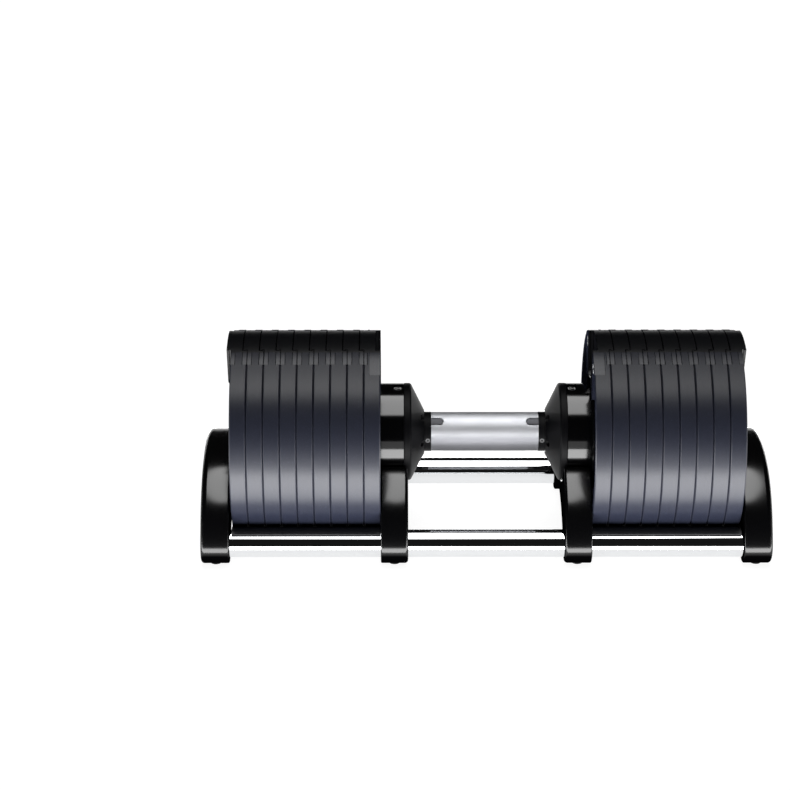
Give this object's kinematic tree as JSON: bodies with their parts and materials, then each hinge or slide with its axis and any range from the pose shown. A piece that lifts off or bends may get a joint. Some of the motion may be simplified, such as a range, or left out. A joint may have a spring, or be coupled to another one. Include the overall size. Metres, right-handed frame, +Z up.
{
  "type": "adjustable dumbbell",
  "caption": "Adjustable dumbbell in its cradle: turning the knurled grip drives rods outwards through interlocking steel plates, which lift off the rails in pairs.",
  "frame": {"origin": "on the floor under the middle of the handle", "axes": "+X along the handle, +Y across it away from the front rail, +Z up"},
  "size_m": [0.4614, 0.1728, 0.1685],
  "materials": {
    "steel_plate": "matte powder coat with a fine speckle",
    "interlock_nylon": "moulded nylon",
    "bracket_gloss": "gloss black",
    "rail_chrome": "mirror chrome",
    "hub_gloss": "gloss black",
    "grip_steel": "fine diamond knurl, satin plated",
    "collar_black": "satin black",
    "dial_black": "satin black with white numbers",
    "bush_brass": "turned",
    "foot_rubber": "matt",
    "rest_nylon": "moulded nylon",
    "rod_steel": "ground steel",
    "screw_steel": "zinc plated"
  },
  "bodies": {
    "cradle": {"end_bracket_left": "bracket_gloss", "end_bracket_right": "bracket_gloss", "inner_bracket_left": "bracket_gloss", "inner_bracket_right": "bracket_gloss", "rail_front": "rail_chrome", "rail_rear": "rail_chrome", "rail_screws": "screw_steel", "rest_pads": "rest_nylon", "rubber_feet": "foot_rubber"},
    "plate_pair_8": {"plate_left_8": "steel_plate", "insert_left_8": "interlock_nylon", "plate_right_8": "steel_plate", "insert_right_8": "interlock_nylon"},
    "plate_pair_7": {"plate_left_7": "steel_plate", "insert_left_7": "interlock_nylon", "plate_right_7": "steel_plate", "insert_right_7": "interlock_nylon"},
    "plate_pair_6": {"plate_left_6": "steel_plate", "insert_left_6": "interlock_nylon", "plate_right_6": "steel_plate", "insert_right_6": "interlock_nylon"},
    "plate_pair_5": {"plate_left_5": "steel_plate", "insert_left_5": "interlock_nylon", "plate_right_5": "steel_plate", "insert_right_5": "interlock_nylon"},
    "plate_pair_4": {"plate_left_4": "steel_plate", "insert_left_4": "interlock_nylon", "plate_right_4": "steel_plate", "insert_right_4": "interlock_nylon"},
    "plate_pair_3": {"plate_left_3": "steel_plate", "insert_left_3": "interlock_nylon", "plate_right_3": "steel_plate", "insert_right_3": "interlock_nylon"},
    "plate_pair_2": {"plate_left_2": "steel_plate", "insert_left_2": "interlock_nylon", "plate_right_2": "steel_plate", "insert_right_2": "interlock_nylon"},
    "plate_pair_1": {"plate_left_1": "steel_plate", "insert_left_1": "interlock_nylon", "plate_right_1": "steel_plate", "insert_right_1": "interlock_nylon"},
    "handle": {"first_disc_left": "steel_plate", "first_disc_right": "steel_plate", "first_insert_left": "interlock_nylon", "first_insert_right": "interlock_nylon", "hub_body_left": "hub_gloss", "hub_body_right": "hub_gloss", "hub_cone_left": "hub_gloss", "hub_cone_right": "hub_gloss", "hub_screws": "screw_steel", "guide_bushes": "bush_brass", "detent_plungers": "screw_steel"},
    "grip": {"grip_tube": "grip_steel", "drive_collar_left": "collar_black", "drive_collar_right": "collar_black", "dial_ring_left": "dial_black", "dial_ring_right": "dial_black", "collar_screws": "screw_steel"},
    "rod_left": {"selector_rod_left": "rod_steel"},
    "rod_right": {"selector_rod_right": "rod_steel"}
  },
  "joints": [
    {"name": "plate_pair_8_lift", "type": "slide", "parent": "cradle", "child": "plate_pair_8", "axis": [0, 0, 1], "range_m": [0, 0.112]},
    {"name": "plate_pair_7_lift", "type": "slide", "parent": "plate_pair_8", "child": "plate_pair_7", "axis": [0, 0, 1], "range_m": [0, 0.112]},
    {"name": "plate_pair_6_lift", "type": "slide", "parent": "plate_pair_7", "child": "plate_pair_6", "axis": [0, 0, 1], "range_m": [0, 0.112]},
    {"name": "plate_pair_5_lift", "type": "slide", "parent": "plate_pair_6", "child": "plate_pair_5", "axis": [0, 0, 1], "range_m": [0, 0.112]},
    {"name": "plate_pair_4_lift", "type": "slide", "parent": "plate_pair_5", "child": "plate_pair_4", "axis": [0, 0, 1], "range_m": [0, 0.112]},
    {"name": "plate_pair_3_lift", "type": "slide", "parent": "plate_pair_4", "child": "plate_pair_3", "axis": [0, 0, 1], "range_m": [0, 0.112]},
    {"name": "plate_pair_2_lift", "type": "slide", "parent": "plate_pair_3", "child": "plate_pair_2", "axis": [0, 0, 1], "range_m": [0, 0.112]},
    {"name": "plate_pair_1_lift", "type": "slide", "parent": "plate_pair_2", "child": "plate_pair_1", "axis": [0, 0, 1], "range_m": [0, 0.112]},
    {"name": "handle_lift", "type": "slide", "parent": "plate_pair_1", "child": "handle", "axis": [0, 0, 1], "range_m": [0, 0.18]},
    {"name": "grip_turn", "type": "hinge", "parent": "handle", "child": "grip", "pos_m": [0, 0, 0.0848], "axis": [1, 0, 0], "range_deg": [0, 320]},
    {"name": "rod_left_slide", "type": "slide", "parent": "handle", "child": "rod_left", "axis": [-1, 0, 0], "range_m": [0, 0.1073]},
    {"name": "rod_right_slide", "type": "slide", "parent": "handle", "child": "rod_right", "axis": [1, 0, 0], "range_m": [0, 0.1073]}
  ],
  "couplings": [
    {"joint": "rod_left_slide", "follows": "grip_turn", "m_per_rad": 0.019194},
    {"joint": "rod_right_slide", "follows": "grip_turn", "m_per_rad": 0.019194}
  ]
}
